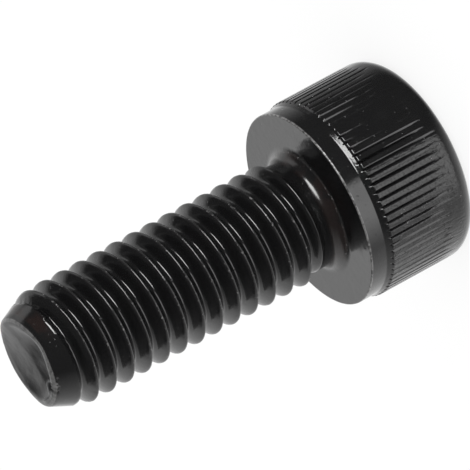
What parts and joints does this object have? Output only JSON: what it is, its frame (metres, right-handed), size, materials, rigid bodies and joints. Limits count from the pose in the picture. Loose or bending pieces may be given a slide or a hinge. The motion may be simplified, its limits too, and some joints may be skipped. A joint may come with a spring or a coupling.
{
  "type": "hex socket cap screw",
  "caption": "Fully threaded metric cap screw with a knurled cylindrical head, a hex socket drive and a chamfered, dished point, in glossy black steel.",
  "frame": {"origin": "centre of the seat, the flat ring under the head", "axes": "+Z along the screw's axis, from the head towards the point; +X and +Y square to it, with a flat of the hexagon facing +X"},
  "size_m": [0.01, 0.01, 0.0219],
  "materials": {
    "black_oxide_steel": "glossy black oxide"
  },
  "bodies": {
    "root": {"cap_screw": "black_oxide_steel"}
  },
  "joints": []
}
